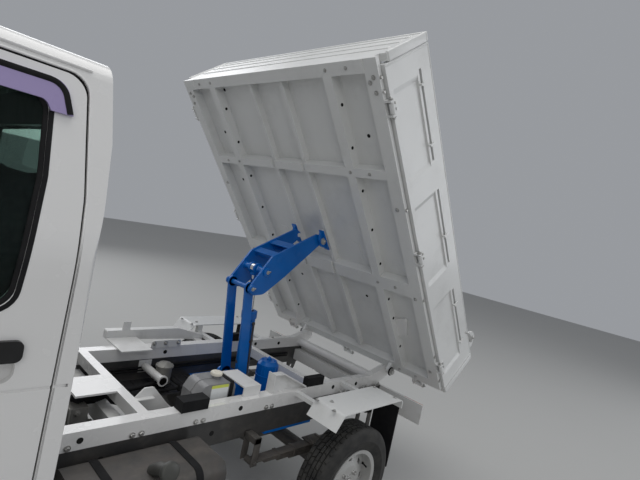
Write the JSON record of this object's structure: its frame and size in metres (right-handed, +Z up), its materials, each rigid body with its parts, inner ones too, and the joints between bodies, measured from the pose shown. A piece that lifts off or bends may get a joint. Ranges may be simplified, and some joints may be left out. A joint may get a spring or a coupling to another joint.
{
  "type": "kei tipper truck",
  "caption": "Small cab-over truck with a tipping drop-side bed, an arm hoist under it, opening doors and gates.",
  "frame": {"origin": "on the ground under the middle of the truck's length and width, with the bed raised as stored", "axes": "+X towards the rear, +Y towards the truck's right, +Z up"},
  "size_m": [3.6106, 1.74, 2.289],
  "materials": {
    "body_paint": "gloss white",
    "frame_paint": "satin grey",
    "hoist_paint": "gloss blue",
    "chrome_rod": "polished",
    "rubber": "matt",
    "glass": "clear",
    "lamp_clear": "clear",
    "lamp_red": "gloss",
    "trim_plastic": "grained",
    "seat_cloth": "woven",
    "cast_metal": "cast",
    "dark_steel": "satin black",
    "bare_steel": "dull",
    "tank_plastic": "satin grey",
    "tyre": "matt",
    "rim_paint": "silver"
  },
  "bodies": {
    "chassis": {"frame_rails": "frame_paint", "frame_crossmembers": "frame_paint", "subframe_rails": "body_paint", "subframe_crossmembers": "body_paint", "subframe_brackets": "frame_paint", "rubber_pads": "rubber", "hoist_power_unit": "hoist_paint", "hoist_base": "hoist_paint", "cab_floor": "frame_paint", "cab_front": "body_paint", "cab_roof": "body_paint", "cab_back": "body_paint", "windshield": "glass", "rear_window": "glass", "front_bumper": "body_paint", "headlamps": "lamp_clear", "dashboard": "trim_plastic", "seats": "seat_cloth", "engine_block": "cast_metal", "driveline": "cast_metal", "rear_axle": "dark_steel", "leaf_springs": "dark_steel", "front_suspension": "dark_steel", "fuel_tank": "dark_steel", "oil_tank": "tank_plastic", "exhaust": "bare_steel", "rear_fenders": "body_paint", "tail_lamps": "lamp_red"},
    "bed": {"bed_floor": "body_paint", "bed_sills": "body_paint", "bed_crossmembers": "body_paint", "bed_headboard": "body_paint", "gate_hinges": "body_paint"},
    "side_gate_l": {"side_gate_l": "body_paint"},
    "side_gate_r": {"side_gate_r": "body_paint"},
    "tailgate": {"tailgate": "body_paint"},
    "lift_arm": {"lift_arm": "hoist_paint"},
    "tension_links": {"tension_links": "hoist_paint"},
    "cylinder_barrel": {"cylinder_barrel": "hoist_paint"},
    "cylinder_rod": {"cylinder_rod": "chrome_rod"},
    "door_l": {"door_l": "body_paint", "door_glass_l": "glass", "mirror_l": "trim_plastic", "door_fittings_l": "trim_plastic"},
    "door_r": {"door_r": "body_paint", "door_glass_r": "glass", "mirror_r": "trim_plastic", "door_fittings_r": "trim_plastic"},
    "knuckle_l": {"knuckle_l": "dark_steel"},
    "knuckle_r": {"knuckle_r": "dark_steel"},
    "wheel_fl": {"tyre_fl": "tyre", "rim_fl": "rim_paint"},
    "wheel_fr": {"tyre_fr": "tyre", "rim_fr": "rim_paint"},
    "wheel_rl": {"tyre_rl": "tyre", "rim_rl": "rim_paint"},
    "wheel_rr": {"tyre_rr": "tyre", "rim_rr": "rim_paint"},
    "steering_wheel": {"steering_wheel": "trim_plastic"}
  },
  "joints": [
    {"name": "bed_tip", "type": "hinge", "parent": "chassis", "child": "bed", "pos_m": [1.49347, 0, 0.626], "axis": [0, 1, 0], "range_deg": [-51.7, 0]},
    {"name": "tailgate_hinge", "type": "hinge", "parent": "bed", "child": "tailgate", "pos_m": [1.56052, 0, 0.60887], "axis": [0, 1, 0], "range_deg": [0, 90]},
    {"name": "side_gate_l_hinge", "type": "hinge", "parent": "bed", "child": "side_gate_l", "pos_m": [1.52643, -0.743, 0.65203], "axis": [0.6198, 0, -0.7848], "range_deg": [0, 180]},
    {"name": "side_gate_r_hinge", "type": "hinge", "parent": "bed", "child": "side_gate_r", "pos_m": [1.52643, 0.743, 0.65203], "axis": [-0.6198, 0, 0.7848], "range_deg": [0, 180]},
    {"name": "arm_heel", "type": "hinge", "parent": "bed", "child": "lift_arm", "pos_m": [0.95405, 0, 1.33484], "axis": [0, 1, 0], "range_deg": [0, 76.22]},
    {"name": "link_foot", "type": "hinge", "parent": "chassis", "child": "tension_links", "pos_m": [0.60447, 0, 0.54], "axis": [0, 1, 0], "range_deg": [-82.13, 0]},
    {"name": "cylinder_foot", "type": "hinge", "parent": "chassis", "child": "cylinder_barrel", "pos_m": [0.66447, 0, 0.47], "axis": [0, 1, 0], "range_deg": [-70.51, 0]},
    {"name": "rod_slide", "type": "slide", "parent": "cylinder_barrel", "child": "cylinder_rod", "axis": [-0.083, 0, 0.9965], "range_m": [-0.1868, 0]},
    {"name": "door_l_hinge", "type": "hinge", "parent": "chassis", "child": "door_l", "pos_m": [-1.42303, -0.733, 1], "axis": [0, 0, -1], "range_deg": [0, 65]},
    {"name": "door_r_hinge", "type": "hinge", "parent": "chassis", "child": "door_r", "pos_m": [-1.42303, 0.733, 1], "axis": [0, 0, 1], "range_deg": [0, 65]},
    {"name": "steer_l", "type": "hinge", "parent": "chassis", "child": "knuckle_l", "pos_m": [-1.04553, -0.545, 0.268], "axis": [0, 0, 1], "range_deg": [-33, 33]},
    {"name": "steer_r", "type": "hinge", "parent": "chassis", "child": "knuckle_r", "pos_m": [-1.04553, 0.545, 0.268], "axis": [0, 0, 1], "range_deg": [-33.5, 33.5]},
    {"name": "steering_wheel_turn", "type": "hinge", "parent": "chassis", "child": "steering_wheel", "pos_m": [-1.16553, 0.32, 1.075], "axis": [0.5501, 0, 0.8351], "range_deg": [-467, 467]},
    {"name": "wheel_fl_spin", "type": "hinge", "parent": "knuckle_l", "child": "wheel_fl", "pos_m": [-1.04553, -0.65, 0.268], "axis": [0, 1, 0], "continuous": true},
    {"name": "wheel_fr_spin", "type": "hinge", "parent": "knuckle_r", "child": "wheel_fr", "pos_m": [-1.04553, 0.65, 0.268], "axis": [0, 1, 0], "continuous": true},
    {"name": "wheel_rl_spin", "type": "hinge", "parent": "chassis", "child": "wheel_rl", "pos_m": [0.85447, -0.65, 0.268], "axis": [0, 1, 0], "continuous": true},
    {"name": "wheel_rr_spin", "type": "hinge", "parent": "chassis", "child": "wheel_rr", "pos_m": [0.85447, 0.65, 0.268], "axis": [0, 1, 0], "continuous": true}
  ],
  "couplings": [
    {"joint": "arm_heel", "follows": "bed_tip", "ratio": -1.4646},
    {"joint": "link_foot", "follows": "bed_tip", "ratio": 1.579},
    {"joint": "cylinder_foot", "follows": "bed_tip", "ratio": 1.3541},
    {"joint": "rod_slide", "follows": "bed_tip", "m_per_rad": 0.20594},
    {"joint": "steer_r", "follows": "steer_l", "ratio": 1},
    {"joint": "steering_wheel_turn", "follows": "steer_l", "ratio": 14}
  ]
}
